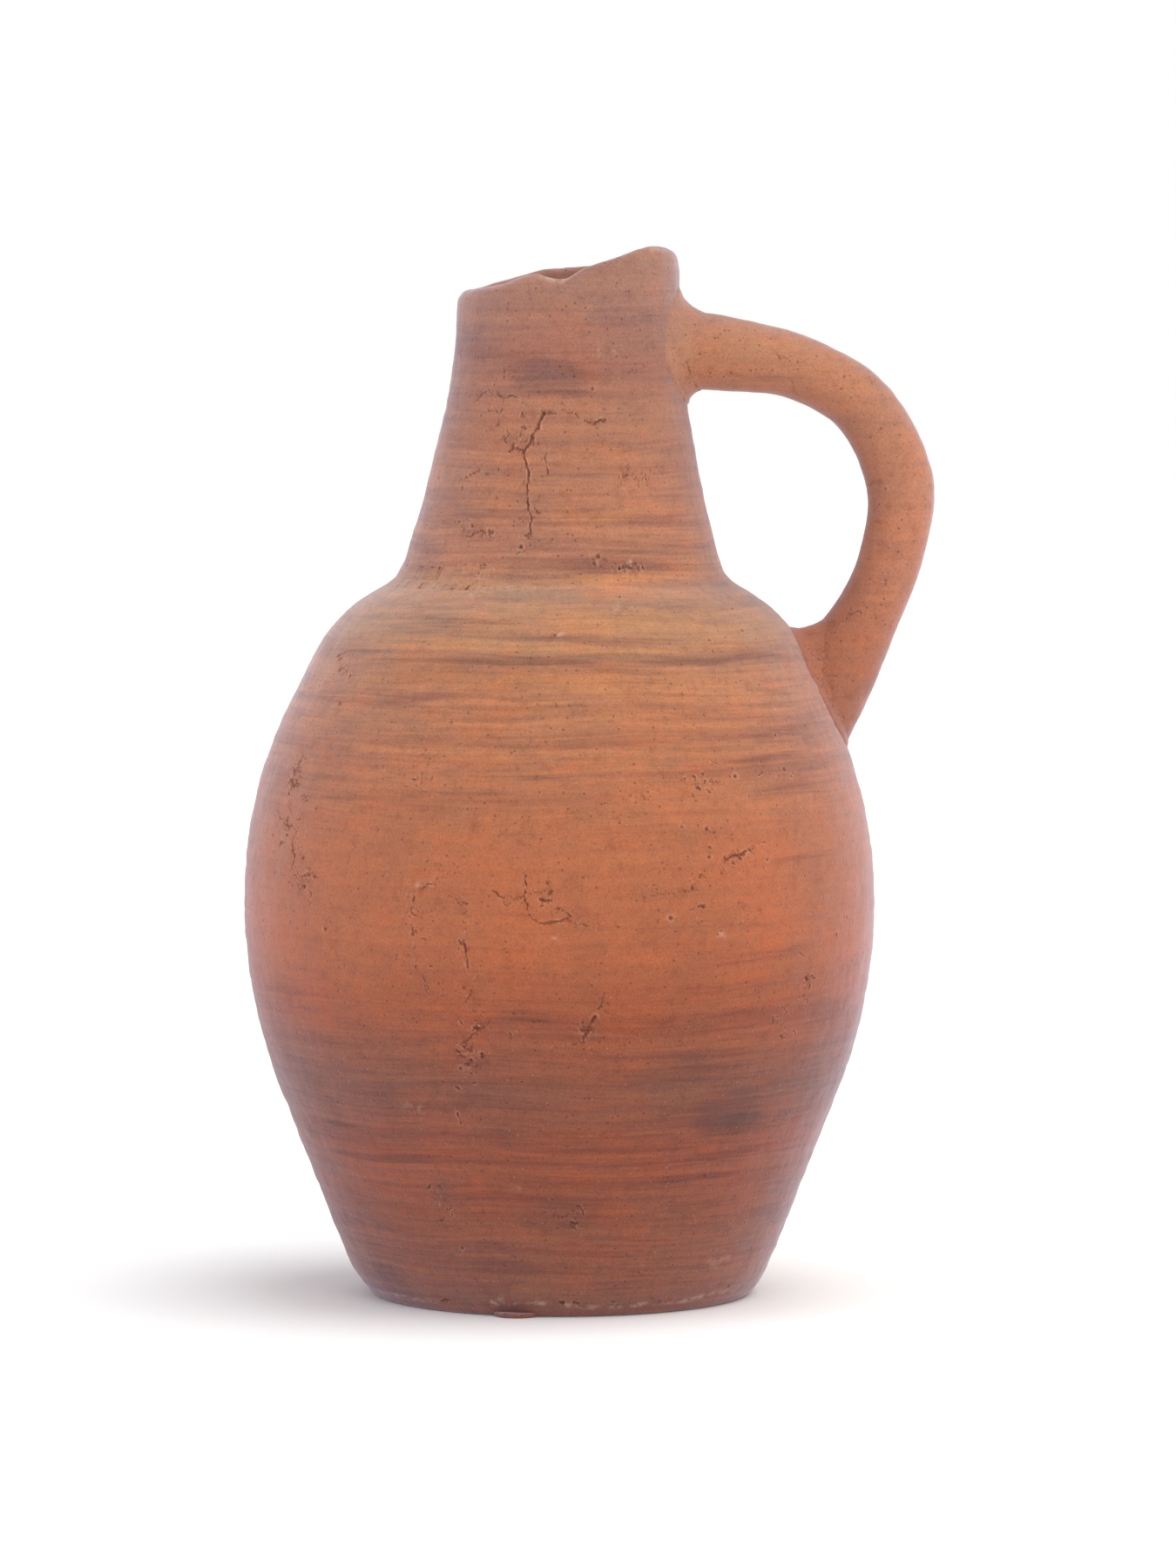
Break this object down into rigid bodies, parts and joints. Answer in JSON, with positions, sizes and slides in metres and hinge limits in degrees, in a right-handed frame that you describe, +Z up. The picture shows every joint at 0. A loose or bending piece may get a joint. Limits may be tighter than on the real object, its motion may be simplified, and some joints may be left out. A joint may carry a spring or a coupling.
{
  "type": "ceramic pitcher",
  "caption": "Unglazed terracotta jug with a round belly, a long tapering neck, a slanted worn lip and a loop handle, for holding and pouring liquid.",
  "frame": {"origin": "centre of the foot's underside, on the axis that the bowls are thrown on", "axes": "+Z up along the jug's axis, +X towards the handle, -Y towards a viewer who sees the handle on the right"},
  "size_m": [0.1981, 0.1816, 0.3001],
  "materials": {
    "foot_clay": "rough unglazed terracotta, grey-brown and gritty where it has stood",
    "body_clay": "matt unglazed terracotta with grey-brown slip bands and drying cracks",
    "neck_clay": "matt unglazed terracotta, closely banded with grey-brown slip, worn at the lip",
    "handle_clay": "smooth matt unglazed terracotta, pulled and wiped by hand"
  },
  "bodies": {
    "root": {"floor_slab": "foot_clay", "lower_bowl": "body_clay", "upper_bowl": "body_clay", "neck": "neck_clay", "neck_luting_coil": "neck_clay", "handle": "handle_clay", "handle_top_collar": "handle_clay", "handle_bottom_collar": "handle_clay"}
  },
  "joints": []
}
